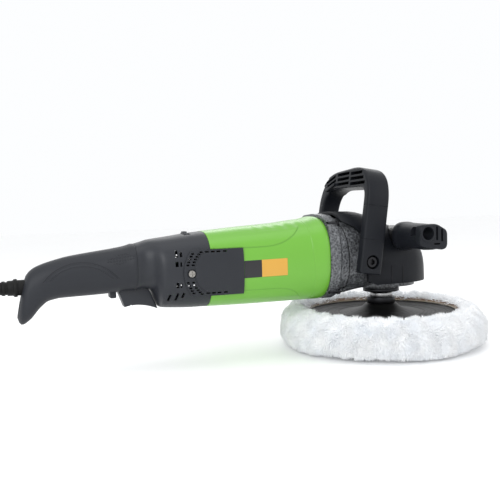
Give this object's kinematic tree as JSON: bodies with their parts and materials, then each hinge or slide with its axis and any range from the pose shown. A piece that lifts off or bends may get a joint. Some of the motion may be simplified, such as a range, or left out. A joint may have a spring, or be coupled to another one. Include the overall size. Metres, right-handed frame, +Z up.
{
  "type": "rotary polisher",
  "caption": "Angle-drive rotary polisher with rear trigger handle, loop handle, side grip and a wool bonnet on a round backing pad, with its mains lead.",
  "frame": {"origin": "centre of the bonnet's flat working face, on the spindle's axis", "axes": "+X from the rear handle to the gear head, +Y to the operator's left, +Z up along the spindle away from the work"},
  "size_m": [0.7715, 0.2448, 0.1946],
  "materials": {
    "green_shell": "satin moulded plastic",
    "black_shell": "fine-textured moulded plastic",
    "rubber": "smooth rubber",
    "casting": "hammertone paint on cast aluminium",
    "steel": "plated steel",
    "dark_steel": "blackened steel",
    "laminate": "stacked steel sheets",
    "copper": "enamelled copper wire",
    "brass": "pressed brass",
    "carbon": "sintered carbon",
    "board": "lacquered circuit board",
    "wool": "white lambswool pile",
    "hide": "tanned hide backing",
    "string": "woven drawstring",
    "cord": "rubber-sheathed cord"
  },
  "bodies": {
    "tool": {"motor_housing": "green_shell", "rear_housing": "black_shell", "brush_cover_right": "black_shell", "brush_cover_left": "black_shell", "cover_screw_right": "steel", "cover_screw_left": "steel", "handle_right": "black_shell", "handle_left": "black_shell", "handle_screw_1": "steel", "handle_screw_2": "steel", "switch_body": "black_shell", "control_board": "board", "gear_housing": "casting", "flange_screw_1": "steel", "flange_screw_2": "steel", "flange_screw_3": "steel", "flange_screw_4": "steel", "head_cover": "black_shell", "bearing_retainer": "dark_steel", "lower_bearing": "steel", "upper_bearing": "steel", "front_bearing": "steel", "rear_bearing": "steel", "stator_core": "laminate", "field_coil_right": "copper", "field_coil_left": "copper", "brush_holder_right": "brass", "brush_holder_left": "brass", "carbon_brush_right": "carbon", "carbon_brush_left": "carbon", "loop_handle": "black_shell", "loop_bolt_right": "dark_steel", "loop_bolt_left": "dark_steel", "side_grip": "black_shell", "grip_stud": "steel", "cord_guard": "rubber", "cord_clamp": "black_shell", "cord_lead": "cord", "cord_coil": "cord", "cord_tail": "cord", "plug": "cord"},
    "spindle_group": {"spindle": "steel", "crown_gear": "dark_steel", "pad_nut": "dark_steel", "backing_pad": "rubber", "bonnet_wool": "wool", "bonnet_hide": "hide", "bonnet_drawstring": "string"},
    "armature": {"armature_shaft": "steel", "armature_core": "laminate", "armature_winding": "copper", "commutator": "copper", "fan": "black_shell", "pinion": "dark_steel"},
    "trigger": {"trigger": "black_shell"},
    "lock_on": {"lock_on_button": "rubber"},
    "dial": {"speed_dial": "black_shell"},
    "spindle_lock": {"spindle_lock_button": "black_shell"}
  },
  "joints": [
    {"name": "spindle_spin", "type": "hinge", "parent": "tool", "child": "spindle_group", "pos_m": [0, 0, 0.1], "axis": [0, 0, 1], "continuous": true},
    {"name": "armature_spin", "type": "hinge", "parent": "tool", "child": "armature", "pos_m": [-0.15, 0, 0.097], "axis": [1, 0, 0], "continuous": true},
    {"name": "trigger_pull", "type": "hinge", "parent": "tool", "child": "trigger", "pos_m": [-0.259, 0, 0.076], "axis": [0, 1, 0], "range_deg": [0, 6], "stiffness_Nm_per_rad": 1.2, "springref_deg": -17.19},
    {"name": "lock_on_press", "type": "slide", "parent": "tool", "child": "lock_on", "axis": [0, -1, 0], "range_m": [0, 0.003], "stiffness_N_per_m": 400, "springref_m": -0.003},
    {"name": "speed_dial_turn", "type": "hinge", "parent": "tool", "child": "dial", "pos_m": [-0.224, 0, 0.1218], "axis": [1, 0, 0], "range_deg": [0, 270]},
    {"name": "spindle_lock_press", "type": "slide", "parent": "tool", "child": "spindle_lock", "axis": [0, 0, -1], "range_m": [0, 0.0035], "stiffness_N_per_m": 600, "springref_m": -0.003}
  ],
  "couplings": [
    {"joint": "armature_spin", "follows": "spindle_spin", "ratio": -4.3}
  ]
}
